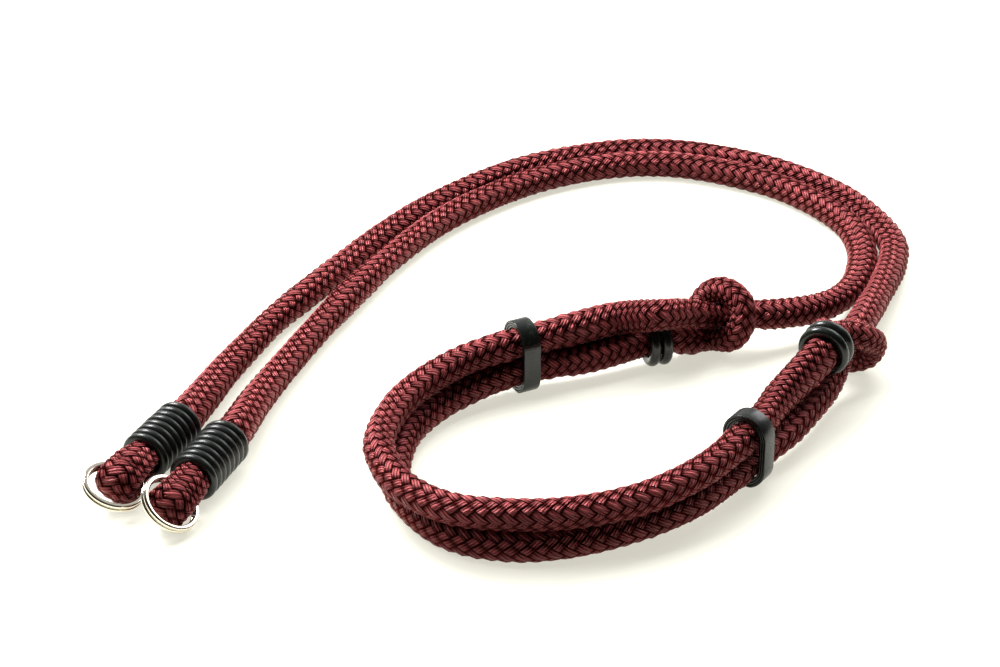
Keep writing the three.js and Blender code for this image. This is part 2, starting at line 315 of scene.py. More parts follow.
def hitchPoints(hitch):
    along = Vector(hitch["heading"]).normalized()
    side = along.cross(upwards)
    out = upwards * hitch["up"]
    points = []
    for degrees, distance in hitch["turn"]:
        angle = math.radians(degrees)
        radial = rope["hitchTurn"] * (side * math.sin(angle) + out * math.cos(angle))
        points.append(Vector(hitch["at"]) + along * distance + radial)
    return points


def endMatrix(end):
    forward = Vector(end["heading"]).normalized()
    up = Quaternion(forward, math.radians(end["roll"])) @ upwards
    across = forward.cross(up)
    turn = Matrix((forward, up, across)).transposed().to_4x4()
    return Matrix.Translation(end["at"]) @ turn


def foldPoints(end):
    nose = fold["nose"] - fold["noseRadius"]
    overRing = (end["ringAt"], fold["overRing"])
    leg = [*fold["leg"], fold["front"], overRing, (nose - fold["noseFrom"], fold["overNose"])]
    flat = [(x, -y) for x, y in leg]
    for degrees in fold["noseSteps"]:
        angle = math.radians(degrees)
        flat.append((nose + fold["noseRadius"] * math.cos(angle), fold["noseRadius"] * math.sin(angle)))
    flat += [*reversed(leg[1:]), fold["tail"]]
    place = endMatrix(end)
    return [place @ Vector((x, y, 0)) for x, y in flat]


def smoothLine(points, perSpan=24):
    # centripetal curve through the points
    p = np.array([tuple(q) for q in points], float)
    p = np.vstack([2 * p[0] - p[1], p, 2 * p[-1] - p[-2]])
    t = np.linspace(0, 1, perSpan, endpoint=False)[:, None]
    spans = []
    for p0, p1, p2, p3 in zip(p, p[1:], p[2:], p[3:]):
        d0, d1, d2 = (math.sqrt(np.linalg.norm(b - a)) for a, b in ((p0, p1), (p1, p2), (p2, p3)))
        m1 = ((p1 - p0) / d0 - (p2 - p0) / (d0 + d1) + (p2 - p1) / d1) * d1
        m2 = ((p2 - p1) / d1 - (p3 - p1) / (d1 + d2) + (p3 - p2) / d2) * d1
        spans.append(p1 + m1 * t + (3 * (p2 - p1) - 2 * m1 - m2) * t**2 + (2 * (p1 - p2) + m1 + m2) * t**3)
    return np.vstack([*spans, p[-2:-1]])


def evenLine(points, step=0.5):
    lengths = np.concatenate([[0], np.cumsum(np.linalg.norm(np.diff(points, axis=0), axis=1))])
    s = np.linspace(0, lengths[-1], int(lengths[-1] / step) + 1)
    return s, np.column_stack([np.interp(s, lengths, points[:, i]) for i in range(3)])


def carriedFrames(line, firstSide):
    # sides and normals that follow the line without turning about it
    tangents = np.gradient(line, axis=0)
    tangents /= np.linalg.norm(tangents, axis=1)[:, None]
    sides = np.empty_like(line)
    side = np.array(firstSide, float)
    for i, tangent in enumerate(tangents):
        side = side - tangent * side.dot(tangent)
        side /= np.linalg.norm(side)
        sides[i] = side
    return sides, np.cross(tangents, sides)


def nearest(line, s, point, after):
    # length along the line, past a given length, where it comes nearest to the point
    distances = np.linalg.norm(line - np.array(tuple(point)), axis=1)
    distances[s < after] = np.inf
    return s[distances.argmin()]


def rowTable(rows):
    # looks up the numbers of a row by its first one, with straight lines between rows
    x, *values = np.array(sorted(rows), float).T
    return lambda s: tuple(np.interp(s, x, value) for value in values)


braid = {
    "columns": 16,  # of crossings round the rope, so eight columns of stitches
    "pitch": 4.45,  # along the rope, from one stitch to the next
    "grid": (0, 0.17, 0.5, 0.83, 1),  # lines across one crossing, close together at its edges
    "crown": 2.2,  # how full a stitch is across its width
    "swell": 0.75,  # how quickly a stitch rises out from under the next
    "uneven": 0.12,
    "twist": -0.012,  # radians per mm
    "cap": 1.2,  # stitches over which an end closes
    "chances": 4096,
    "rightStitch": (7919, 104729),  # which chance a stitch takes, from the numbers of its strands
    "leftStitch": (15485863, 32452843),
    "strandShade": (37, 11),
}


def layStitches(s, density, seed):
    # Sixteen strands, each over two and under two, half of them climbing to the right and half to
    # the left, with a small grid of points at every crossing. density(s) gives stitches per pitch.
    around = braid["columns"]
    lines = np.array(braid["grid"])
    cells = len(lines) - 1
    closeness = density(s)[0]
    steps = (closeness[1:] + closeness[:-1]) / 2 * np.diff(s)
    rows = np.concatenate([[0], np.cumsum(steps)]) * 2 / braid["pitch"]
    column, row = np.meshgrid(np.arange(around), np.arange(-2, int(rows[-1]) + 3), indexing="ij")
    meets = (column + row) % 2 == 0
    column, row = column[meets], row[meets]
    right, left = (column + row) // 2, (column - row) // 2
    rightOver = column % 4 < 2
    second = np.where(rightOver, column % 4 == 1, column % 4 == 2)

    # each stitch has its own chance, which its two crossings share, and each strand its own shade
    strand = np.where(rightOver, left % (around // 2), around // 2 + right % (around // 2))
    rightStitch = (right - second) * braid["rightStitch"][0] + left * braid["rightStitch"][1]
    leftStitch = right * braid["leftStitch"][0] + (left - second) * braid["leftStitch"][1]
    stitch = np.where(rightOver, rightStitch, leftStitch)
    chances = np.random.default_rng(seed).random(braid["chances"])
    perStrand, offset = braid["strandShade"]
    chance = chances[stitch % braid["chances"]][:, None, None]
    shade = chances[(strand * perStrand + offset) % braid["chances"]][:, None, None]

    i, j = np.meshgrid(np.arange(cells + 1), np.arange(cells + 1), indexing="ij")
    rightOver, second = rightOver[:, None, None], second[:, None, None]
    along = (np.where(rightOver, lines[i], lines[j]) + second) / 2
    across = np.where(rightOver, lines[j], lines[i]) * 2 - 1
    height = (1 - np.abs(across) ** braid["crown"]) * np.sin(np.pi * np.clip(along, 0, 1)) ** braid["swell"]
    height = height * (1 - braid["uneven"] * 2 * chance)

    # crossings that touch share their points
    rightStep = cells * right[:, None, None] + i
    leftStep = cells * left[:, None, None] + j
    warp = lines[:-1] - np.arange(cells) / cells
    rightAt = rightStep / cells + warp[rightStep % cells] - 0.5
    leftAt = leftStep / cells + warp[leftStep % cells] - 0.5
    turnStep, riseStep = (rightStep + leftStep) % (cells * around), rightStep - leftStep
    key = (riseStep - riseStep.min()) * (cells * around) + turnStep
    first, where = np.unique(key.ravel(), return_index=True, return_inverse=True)[1:]
    spread = np.ones_like(height)
    return {
        "rows": rows,
        "column": (rightAt + leftAt).ravel()[first],
        "row": (rightAt - leftAt).ravel()[first],
        "lift": rope["relief"] * (height.ravel()[first] - 1),
        "where": where.reshape(key.shape),
        "uv": ((across + 1) / 2, np.where(rightOver, rightAt, leftAt)),
        "thread": (chance * spread, height, shade * spread, spread),
    }


def pressRoom(middles, outwards, other):
    # how much of each outward vector is free before it meets the other rope half-way
    tree = KDTree(len(other))
    for i, point in enumerate(other):
        tree.insert(point, i)
    tree.balance()
    closest = np.array([tree.find(point)[0] for point in middles + outwards])
    between = closest - middles
    toward = np.maximum((outwards * between).sum(axis=1), 1e-6)
    return (between**2).sum(axis=1) / (2 * toward)


def shapeStitches(stitches, s, line, frames, section, other):
    # Bends the stitches round the centre line. section(s) gives half the width and half the
    # thickness, and other is the centre line of the other rope.
    rows, column, row = stitches["rows"], stitches["column"], stitches["row"]
    beyond = np.maximum(braid["cap"] - row, row - (rows[-1] - braid["cap"]))
    close = np.sqrt(np.clip(1 - np.clip(beyond / braid["cap"], 0, 1) ** 2, 0, 1))
    at = np.interp(np.clip(row, 0, rows[-1]), rows, s)
    theta = 2 * np.pi * column / braid["columns"] + braid["twist"] * at
    width, thick = section(at)

    def carried(values):
        return np.column_stack([np.interp(at, s, values[:, i]) for i in range(3)])

    middles = carried(line)
    side, normal = (carried(way) for way in frames)
    side, normal = side * np.cos(theta)[:, None], normal * np.sin(theta)[:, None]
    crest = side * width[:, None] + normal * thick[:, None]
    room = pressRoom(middles, crest, other)
    lift = stitches["lift"] * np.interp(room, (1, rope["pressedWithin"]), (rope["pressed"], 1))
    outwards = crest * np.minimum(room, 1)[:, None] + (side + normal) * lift[:, None]
    points = middles + outwards * close[:, None]
    points[:, 2] = np.maximum(points[:, 2], rope["lowest"])
    return points


def meshBraid(name, points, stitches):
    # the four corners of every quad, in the order that faces outwards
    near, far = slice(None, -1), slice(1, None)
    quadCells = [(slice(None), i, j) for i, j in ((near, far), (far, far), (far, near), (near, near))]

    def corners(values):
        return np.stack([values[cell] for cell in quadCells], axis=-1).reshape(-1)

    quads = corners(stitches["where"]).reshape(-1, 4)
    mesh = bpy.data.meshes.new(name)
    mesh.from_pydata((points * mm).tolist(), [], quads.tolist())
    piece = bpy.data.objects.new(name, mesh)
    bpy.context.scene.collection.objects.link(piece)

    # u runs across a stitch and v along its strand, in stitch widths
    strandMap = mesh.uv_layers.new(name="strand")
    strandMap.data.foreach_set("uv", np.column_stack([corners(part) for part in stitches["uv"]]).ravel())
    thread = mesh.color_attributes.new("thread", "FLOAT_COLOR", "CORNER")
    paint = np.column_stack([corners(part) for part in stitches["thread"]])
    thread.data.foreach_set("color", paint.ravel())
    mesh.polygons.foreach_set("use_smooth", np.ones(len(quads), bool))
    mesh.validate()
    mesh.update()
    return piece


def centreLine(side, route):
    hitch = hitchPoints(hitches[side])
    s, line = evenLine(smoothLine([*foldPoints(ends[side]), *route, *hitch]))
    hitchAt = nearest(line, s, hitch[0], rope["hitchAfter"]) - rope["hitchLead"]
    line[s < hitchAt, 2] = np.maximum(line[s < hitchAt, 2], rope["rest"])
    return {"s": s, "line": line, "hitchAt": hitchAt}


def atBands(lift=0):
    return [{"at": Vector(place["at"]) + upwards * lift, "radius": besideBand} for place in bands.values()]


ropes = {
    "outer": {
        "centre": centreLine("outer", outerRoute),
        "other": "inner",
        "seed": 7,
        "pushed": pushedTogether["outer"],
        "fuller": [meeting["outer"], farBend["outer"], slackStretch["outer"], *atBands()],
    },
    "inner": {
        "centre": centreLine("inner", innerRoute),
        "other": "outer",
        "seed": 19,
        "pushed": pushedTogether["inner"],
        "fuller": [meeting["inner"], farBend["inner"], slackStretch["inner"], bulge, *atBands(rope["gap"])],
    },
}


def addRope(side):
    facts, end = ropes[side], ends[side]
    s, line, hitchAt = (facts["centre"][name] for name in ("s", "line", "hitchAt"))
    other = ropes[facts["other"]]["centre"]["line"]
    front = nearest(line, s, endMatrix(end) @ Vector((*fold["front"], 0)), fold["frontAfter"])
    whippedTo = front + whipping["count"] * end["pitch"] + fold["behind"]
    firstPart = slice(int(len(line) * rope["passPart"]))
    passAt = nearest(line[firstPart], s[firstPart], hitches[facts["other"]]["at"], rope["passAfter"])

    loop, tight = rope["loopRadius"], rope["hitchRadius"]
    radii = [(whippedTo, rope["whippedRadius"])]
    radii += [(whippedTo + x, r) for x, r in splice]
    radii += [(passAt + x, r) for x, r in squeeze]
    radii.append((passAt + rope["loopFrom"], loop))
    for place in facts["fuller"]:
        at = nearest(line, s, place["at"], whippedTo)
        radii += [(at + x, r) for x, r in place["radius"]]
    radii += [(hitchAt - rope["hitchTaper"], loop), (hitchAt, tight), (s[-1], tight)]
    section = [(0, *fold["tailSection"])]
    section += [(front + x, width, thick) for x, width, thick in foldSection]
    section += [(x, r, r) for x, r in radii]

    closer = [(front + x, stitches) for x, stitches in foldStitches]
    for place in facts["pushed"]:
        at = nearest(line, s, place["at"], passAt - rope["pushedBefore"])
        closer += [(at + x, stitches) for x, stitches in place["stitches"]]
    closer += [(hitchAt + x, stitches) for x, stitches in hitchStitches]

    frames = carriedFrames(line, endMatrix(end).to_3x3() @ upwards)
    stitches = layStitches(s, rowTable(closer), facts["seed"])
    points = shapeStitches(stitches, s, line, frames, rowTable(section), other)
    piece = meshBraid(f"braided_rope_{side}", points, stitches)
    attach(piece, "root")
    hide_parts(f"rope_{side}")
    print(piece.name, "length", round(s[-1]), "mm, triangles", 2 * len(piece.data.polygons))
    return piece


def deselectAll():
    if bpy.context.object and bpy.context.object.mode != "OBJECT":
        bpy.ops.object.mode_set(mode="OBJECT")
    bpy.ops.object.select_all(action="DESELECT")


def pickPoints(piece, test):
    # leaves the piece in edit mode with the points that pass the test selected
    bpy.ops.object.mode_set(mode="EDIT")
    bpy.ops.mesh.select_mode(type="VERT")
    bpy.ops.mesh.select_all(action="DESELECT")
    bpy.ops.object.mode_set(mode="OBJECT")
    for point in piece.data.vertices:
        point.select = test(point.co)
    bpy.ops.object.mode_set(mode="EDIT")


def applyModifier(piece, kind, **settings):
    modifier = piece.modifiers.new(kind.lower(), kind)
    for name, value in settings.items():
        setattr(modifier, name, value)
    bpy.ops.object.modifier_apply(modifier=modifier.name)


def smoothShade(degrees):
    bpy.ops.object.mode_set(mode="OBJECT")
    bpy.ops.object.shade_smooth_by_angle(angle=math.radians(degrees))


def placeCopy(model, name, node, matrix, look):
    # models are made round the origin, and a copy of the mesh is moved to its place
    piece = bpy.data.objects.new(name, model.data.copy())
    bpy.context.scene.collection.objects.link(piece)
    piece.data.transform(Matrix.Scale(mm, 4) @ matrix)
    piece.data.materials.clear()
    piece.data.materials.append(look)
    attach(piece, "root")
    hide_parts(node)


def nodeMiddle(node):
    low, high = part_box(node)
    return (Vector(low) + Vector(high)) / (2 * mm)


def alongMatrix(middle, heading):
    # z along the rope and y as near to upwards as it can be
    along = Vector(heading).normalized()
    side = upwards.cross(along).normalized()
    turn = Matrix((side, along.cross(side), along)).transposed().to_4x4()
    return Matrix.Translation(middle) @ turn


whipping = {
    "count": 8,
    "seat": 5.45,  # inner radius, on the rope
    "outer": 8.2,
    "press": 0.02,  # room between two rings that press on each other
    "seatFlat": 0.5,  # how much of the inner side is flat
    "around": 96,
    "section": 20,
    "lean": 0.012,  # most that a ring leans, in radians
    "shift": 0.07,  # most that a ring lies off the middle
    "seed": 31,
}
stopRing = {"seat": 5.35, "outer": 8.79, "width": 3.75, "seatFlat": 0.3, "around": 112, "section": 26}
seatPress = {"wider": 1.25, "shallower": 1.01}  # what the rope does to the inner side of a ring


def modelRubberRing(ring, width):
    # a round ring, made as wide as its place and flattened on its seat
    deselectAll()
    thick = (ring["outer"] - ring["seat"]) / 2
    bpy.ops.mesh.primitive_torus_add(
        major_radius=ring["seat"] + thick,
        minor_radius=thick,
        major_segments=ring["around"],
        minor_segments=ring["section"],
    )
    piece = bpy.context.object
    bpy.ops.object.mode_set(mode="EDIT")
    bpy.ops.mesh.select_all(action="SELECT")
    bpy.ops.transform.resize(value=(1, 1, width / (2 * thick)), center_override=(0, 0, 0))
    flat = ring["seat"] + ring["seatFlat"] * thick
    pickPoints(piece, lambda co: math.hypot(co.x, co.y) < flat)
    out = seatPress["shallower"]
    bpy.ops.transform.resize(value=(1, 1, seatPress["wider"]), center_override=(0, 0, 0))
    bpy.ops.transform.resize(value=(out, out, 1), center_override=(0, 0, 0))
    smoothShade(180)
    return piece


def addWhippings(look):
    lot = np.random.default_rng(whipping["seed"])
    for side, end in ends.items():
        model = modelRubberRing(whipping, end["pitch"] - whipping["press"])
        for i in range(whipping["count"]):
            node = f"whipping_{side}_{i + 1}"
            lean = lot.uniform(-whipping["lean"], whipping["lean"], 2)
            shift = lot.uniform(-whipping["shift"], whipping["shift"], 2)
            place = alongMatrix(nodeMiddle(node), end["heading"]) @ Matrix.Translation((*shift, 0))
            place = place @ Matrix.Rotation(lean[0], 4, "X") @ Matrix.Rotation(lean[1], 4, "Y")
            placeCopy(model, f"rubber_{node}", node, place, look)
        bpy.data.objects.remove(model)


def addStopRings(look):
    model = modelRubberRing(stopRing, stopRing["width"])
    for side, stop in stops.items():
        for i in (1, 2):
            node = f"stop_ring_{side}_{i}"
            place = alongMatrix(nodeMiddle(node), stop["heading"])
            placeCopy(model, f"rubber_{node}", node, place, look)
    bpy.data.objects.remove(model)


band = {
    "inner": 5.35,
    "outer": 7.85,
    "lowest": 7.26,  # the underside is pressed flat on the surface
    "width": 6.1,
    "laps": 3,
    "apart": 0.09,  # between the laps of the wound strip
    "stagger": 0.17,  # each lap is this much narrower on each side than the one round it
    "edge": 0.2,
    "edgeSteps": 3,
    "around": 66,  # has no point on the line between the two round ends
    "smooth": 35,
}


def modelBand():
    # laps of a flat strip, one inside another, each a tube that is drawn out to an oval
    thick = (band["outer"] - band["inner"] - band["apart"] * (band["laps"] - 1)) / band["laps"]
    laps = []
    for i in range(band["laps"]):
        deselectAll()
        bpy.ops.mesh.primitive_cylinder_add(
            vertices=band["around"],
            radius=band["outer"] - i * (thick + band["apart"]),
            depth=band["width"] - 2 * i * band["stagger"],
            end_fill_type="NOTHING",
        )
        lap = bpy.context.object
        for way in (1, -1):
            pickPoints(lap, lambda co: co.y * way > 0)
            bpy.ops.transform.translate(value=(0, way * rope["gap"] / 2, 0))
        bpy.ops.object.mode_set(mode="OBJECT")
        applyModifier(lap, "SOLIDIFY", thickness=thick, offset=-1, use_even_offset=True)
        applyModifier(lap, "BEVEL", width=band["edge"], segments=band["edgeSteps"], limit_method="ANGLE")
        for point in lap.data.vertices:
            point.co.y = max(point.co.y, -rope["gap"] / 2 - band["lowest"])
        laps.append(lap)
    deselectAll()
    for lap in laps:
        lap.select_set(True)
    bpy.context.view_layer.objects.active = laps[0]
    bpy.ops.object.join()
    smoothShade(band["smooth"])
    return bpy.context.object


def addBands(look):
    model = modelBand()
    for side, place in bands.items():
        node = f"band_{side}"
        matrix = alongMatrix(nodeMiddle(node), place["heading"])
        placeCopy(model, f"rubber_{node}", node, matrix, look)
    bpy.data.objects.remove(model)


splitRing = {
    "outer": 10.1,
    "radial": 1.8,
    "axial": 1.27,
    "round": 0.56,
    "roundSteps": 4,
    "wound": 660,  # degrees of wire
    "stepFrom": 300,
    "stepTo": 360,
    "rise": 1.45,
    "tip": 150,  # where the wire starts
    "steps": 198,
    "smooth": 35,
}


def modelSplitRing():
    # flat wire spun nearly twice round: one turn low, a short step up, one turn high
    deselectAll()
    middle = splitRing["outer"] - splitRing["radial"] / 2
    bpy.ops.mesh.primitive_plane_add(size=1, location=(middle, 0, 0), rotation=(math.pi / 2, 0, 0))
    piece = bpy.context.object
    bpy.ops.object.transform_apply(location=True, rotation=True, scale=True)
    bpy.ops.object.mode_set(mode="EDIT")
    bpy.ops.mesh.select_all(action="SELECT")
    size = (splitRing["radial"], 1, splitRing["axial"])
    bpy.ops.transform.resize(value=size, center_override=(middle, 0, 0))
    bpy.ops.mesh.bevel(offset=splitRing["round"], segments=splitRing["roundSteps"], affect="VERTICES")
    bpy.ops.mesh.select_all(action="SELECT")
    bpy.ops.object.mode_set(mode="OBJECT")
    corners = len(piece.data.vertices)
    bpy.ops.object.mode_set(mode="EDIT")
    wound = math.radians(splitRing["wound"])
    bpy.ops.mesh.spin(steps=splitRing["steps"], angle=wound, center=(0, 0, 0), axis=(0, 0, 1))
    bpy.ops.object.mode_set(mode="OBJECT")
    for i, point in enumerate(piece.data.vertices):
        degrees = splitRing["wound"] * (i // corners) / splitRing["steps"]
        part = (degrees - splitRing["stepFrom"]) / (splitRing["stepTo"] - splitRing["stepFrom"])
        part = min(max(part, 0), 1)
        point.co.z += splitRing["rise"] * (part * part * (3 - 2 * part) - 0.5)
    bpy.ops.object.mode_set(mode="EDIT")
    bpy.ops.mesh.select_all(action="SELECT")
    bpy.ops.mesh.normals_make_consistent(inside=False)
    smoothShade(splitRing["smooth"])
    return piece


def addSplitRings(look):
    model = modelSplitRing()
    for side, end in ends.items():
        node = f"split_ring_{side}"
        offset = end["ringAt"] + splitRing["outer"] - splitRing["radial"] / 2
        place = endMatrix(end) @ Matrix.Translation((offset, 0, 0)) @ Matrix.Rotation(-math.pi / 2, 4, "X")
        place = place @ Matrix.Rotation(math.radians(splitRing["tip"]), 4, "Z")
        placeCopy(model, f"wire_{node}", node, place, look)
    bpy.data.objects.remove(model)


def feed(links, socket, value):
    # a socket takes either another node's output or a value of its own
    if hasattr(value, "is_output"):
        links.new(value, socket)
    else:
        socket.default_value = value


def joinMath(nodes, links, operation, *values):
    node = nodes.new("ShaderNodeMath")
    node.operation = operation
    for socket, value in zip(node.inputs, values):
        feed(links, socket, value)
    return node.outputs[0]


def addNoise(nodes, links, vector, scale, detail, roughness=0.5):
    noise = nodes.new("ShaderNodeTexNoise")
    noise.inputs["Detail"].default_value = detail
    noise.inputs["Roughness"].default_value = roughness
    feed(links, noise.inputs["Scale"], scale)
    links.new(vector, noise.inputs["Vector"])
    return noise.outputs["Fac"]


def mixColors(nodes, links, factor, first, second):
    mix = nodes.new("ShaderNodeMix")
    mix.data_type = "RGBA"
    for name, value in (("Factor", factor), ("A", first), ("B", second)):
        feed(links, mix.inputs[name], value)
    return mix.outputs["Result"]


def mapRange(nodes, links, value, given, wanted, smooth=False):
    node = nodes.new("ShaderNodeMapRange")
    node.interpolation_type = "SMOOTHSTEP" if smooth else "LINEAR"
    links.new(value, node.inputs["Value"])
    for name, number in zip(("From Min", "From Max", "To Min", "To Max"), (*given, *wanted)):
        node.inputs[name].default_value = number
    return node.outputs["Result"]


def addBump(nodes, links, shader, height, strength, depth):
    bump = nodes.new("ShaderNodeBump")
    bump.inputs["Strength"].default_value = strength
    bump.inputs["Distance"].default_value = depth
    links.new(height, bump.inputs["Height"])
    links.new(bump.outputs[0], shader.inputs["Normal"])


def newMaterial(name):
    material = bpy.data.materials.new(name)
    material.use_nodes = True
    nodes = material.node_tree.nodes
    return material, nodes, material.node_tree.links, nodes["Principled BSDF"]


yarn = {
    "light": (0.42, 0.074, 0.08, 1),
    "dark": (0.1, 0.014, 0.014, 1),
    # painted shade: the near-black colour put in the grooves between stitches and between yarns
    "grooveShade": (0.022, 0.004, 0.0035, 1),
    "glint": (1.0, 0.5, 0.5, 1),
    "shine": 0.7,
    "satin": 0.14,  # the coloured shine of smooth nylon, on top of the stitches
    "count": 3,  # yarns side by side in one strand
    "fullness": 0.75,  # a low power makes each yarn flat on top
    "byStrand": 0.2,  # how much of the tone comes from the strand, the stitch, the yarn and the fibres
    "byStitch": 0.45,
    "byYarn": 0.4,
    "byFibre": 0.25,
    "between": 0.4,  # how light the painted shade leaves it between two yarns
    "grooveShadeDepth": (0.03, 0.72),  # heights over which the painted groove shade fades, from the bottom of a groove up to the clear colour
    "plumpness": 0.00036,
    "rounding": 0.45,  # roundness of a stitch, in yarns
    "fuzz": 0.45,  # roughness of its fibres, in yarns
    "roughFrom": (0.3, 0.7),
    "rough": (0.28, 0.5),
    "fibres": 26.0,  # across a strand
    "fibreTwist": 3.0,
    "fibreLength": 2.5,
    "fibreShuffle": 40.0,
    "fibreDetail": 3.0,
}


def ropeMaterial():
    material, nodes, links, shader = newMaterial("braided rope")
    uv = nodes.new("ShaderNodeUVMap")
    uv.uv_map = "strand"
    split = nodes.new("ShaderNodeSeparateXYZ")
    links.new(uv.outputs[0], split.inputs[0])
    thread = nodes.new("ShaderNodeVertexColor")
    thread.layer_name = "thread"
    parts = nodes.new("ShaderNodeSeparateColor")
    links.new(thread.outputs[0], parts.inputs[0])
    u, v = split.outputs[0], split.outputs[1]
    chance, height, shade = parts.outputs

    def calc(operation, *values):
        return joinMath(nodes, links, operation, *values)

    def combine(*values):
        node = nodes.new("ShaderNodeCombineXYZ")
        for socket, value in zip(node.inputs, values):
            links.new(value, socket)
        return node.outputs[0]

    # yarns lie side by side across the strand, each rounded, and each with its own tone
    lane = calc("MULTIPLY", u, yarn["count"])
    wave = calc("ABSOLUTE", calc("SINE", calc("MULTIPLY", lane, math.pi)))
    plump = calc("POWER", wave, yarn["fullness"])
    own = nodes.new("ShaderNodeTexWhiteNoise")
    own.noise_dimensions = "3D"
    links.new(combine(calc("FLOOR", lane), chance, shade), own.inputs["Vector"])

    # fine fibres, long in the strand's way and twisted a little across it
    twisted = calc("MULTIPLY_ADD", v, yarn["fibreTwist"], calc("MULTIPLY", u, yarn["fibres"]))
    stretched = calc("MULTIPLY", v, yarn["fibreLength"])
    shuffled = calc("MULTIPLY", chance, yarn["fibreShuffle"])
    fibre = addNoise(nodes, links, combine(twisted, stretched, shuffled), 1.0, yarn["fibreDetail"])

    tone = calc("MULTIPLY_ADD", shade, yarn["byStrand"], calc("MULTIPLY", chance, yarn["byStitch"]))
    tone = calc("MULTIPLY_ADD", own.outputs["Value"], yarn["byYarn"], tone)
    tone = calc("MULTIPLY_ADD", fibre, yarn["byFibre"], tone)
    body = mixColors(nodes, links, tone, yarn["dark"], yarn["light"])
    # painted shade: by height, the colour is mixed toward the near-black groove shade where stitches dip
    # into their grooves and between their yarns, darkening the creases where shade falls
    depth = calc("MULTIPLY", height, calc("MULTIPLY_ADD", plump, 1 - yarn["between"], yarn["between"]))
    clear = mapRange(nodes, links, depth, yarn["grooveShadeDepth"], (0, 1), smooth=True)
    links.new(mixColors(nodes, links, clear, yarn["grooveShade"], body), shader.inputs["Base Color"])

    rounded = calc("MULTIPLY_ADD", height, yarn["rounding"], plump)
    relief = calc("MULTIPLY_ADD", fibre, yarn["fuzz"], rounded)
    addBump(nodes, links, shader, relief, 1.0, yarn["plumpness"])
    links.new(mapRange(nodes, links, fibre, yarn["roughFrom"], yarn["rough"]), shader.inputs["Roughness"])
    # painted shade in the grooves: Metallic goes to 1 there, so the dark groove colour also darkens their
    # reflections; on the stitches it is the satin value
    links.new(mapRange(nodes, links, clear, (0, 1), (1, yarn["satin"])), shader.inputs["Metallic"])
    shader.inputs["Specular IOR Level"].default_value = yarn["shine"]
    shader.inputs["Specular Tint"].default_value = yarn["glint"]
    return material


wear = {
    "grainDetail": 3,
    "blotchScale": 0.12,  # of the grain's
    "blotchDetail": 4,
    "blotchRoughness": 0.65,
    "scuffFrom": (0.5, 0.72),
    "speckFrom": (0.42, 0.68),
    "speckled": 0.6,
    "worn": -0.5,  # scuffs lie a little lower
}


def surfaceGroup():
    # fine grain, soft blotches and small scuffs, for rubber and for metal
    group = bpy.data.node_groups.new("worn surface", "ShaderNodeTree")
    face = group.interface
    face.new_socket("Vector", in_out="INPUT", socket_type="NodeSocketVector")
    for name, kind in (("Clean", "Color"), ("Worn", "Color"), ("Grain Scale", "Float"), ("Wear", "Float")):
        face.new_socket(name, in_out="INPUT", socket_type="NodeSocket" + kind)
    for name, kind in (("Color", "Color"), ("Wear Mask", "Float"), ("Height", "Float")):
        face.new_socket(name, in_out="OUTPUT", socket_type="NodeSocket" + kind)
    nodes, links = group.nodes, group.links
    given = nodes.new("NodeGroupInput").outputs
    result = nodes.new("NodeGroupOutput").inputs

    def calc(operation, *values):
        return joinMath(nodes, links, operation, *values)

    blotchScale = calc("MULTIPLY", given["Grain Scale"], wear["blotchScale"])
    blotchLook = (wear["blotchDetail"], wear["blotchRoughness"])
    grain = addNoise(nodes, links, given["Vector"], given["Grain Scale"], wear["grainDetail"])
    blotch = addNoise(nodes, links, given["Vector"], blotchScale, *blotchLook)
    scuff = mapRange(nodes, links, blotch, wear["scuffFrom"], (0, 1), smooth=True)
    speck = mapRange(nodes, links, grain, wear["speckFrom"], (0, 1))
    mask = calc("MULTIPLY", scuff, calc("MULTIPLY_ADD", speck, wear["speckled"], 1 - wear["speckled"]))
    mask = calc("MULTIPLY", mask, given["Wear"])
    links.new(mixColors(nodes, links, mask, given["Clean"], given["Worn"]), result["Color"])
    links.new(mask, result["Wear Mask"])
    links.new(calc("MULTIPLY_ADD", mask, wear["worn"], grain), result["Height"])
    return group


rubber = {
    "clean": (0.005, 0.0065, 0.0052, 1),
    "worn": (0.028, 0.031, 0.025, 1),
    "bump": 0.6,
    "shine": 0.42,
    "metallic": 0,
}
# rough is for the clean and for the worn surface, and lines are for drawing or moulding marks,
# stretched along u or v of the piece's own map
finishes = {
    "whipping rubber": {
        **rubber,
        "grain": 2600,
        "wear": 0.5,
        "rough": (0.3, 0.55),
        "depth": 0.00002,
        "lines": (8, 60, 1),
    },
    "stop ring rubber": {
        **rubber,
        "grain": 1800,
        "wear": 0.35,
        "rough": (0.26, 0.5),
        "depth": 0.00002,
        "lines": (10, 40, 1),
    },
    "band rubber": {
        **rubber,
        "grain": 2200,
        "wear": 0.6,
        "rough": (0.24, 0.5),
        "depth": 0.00003,
        "lines": (260, 3, 1),
    },
    "nickel wire": {
        "clean": (0.8, 0.74, 0.62, 1),
        "worn": (0.5, 0.44, 0.35, 1),
        "bump": 0.25,
        "shine": 0.5,
        "metallic": 1,
        "grain": 1500,
        "wear": 0.5,
        "rough": (0.1, 0.34),
        "depth": 0.00003,
        "lines": None,
    },
}
lineMarks = {"detail": 3.0, "roughness": 0.6, "height": 1.6, "roughen": 0.16, "smoothen": -0.08}


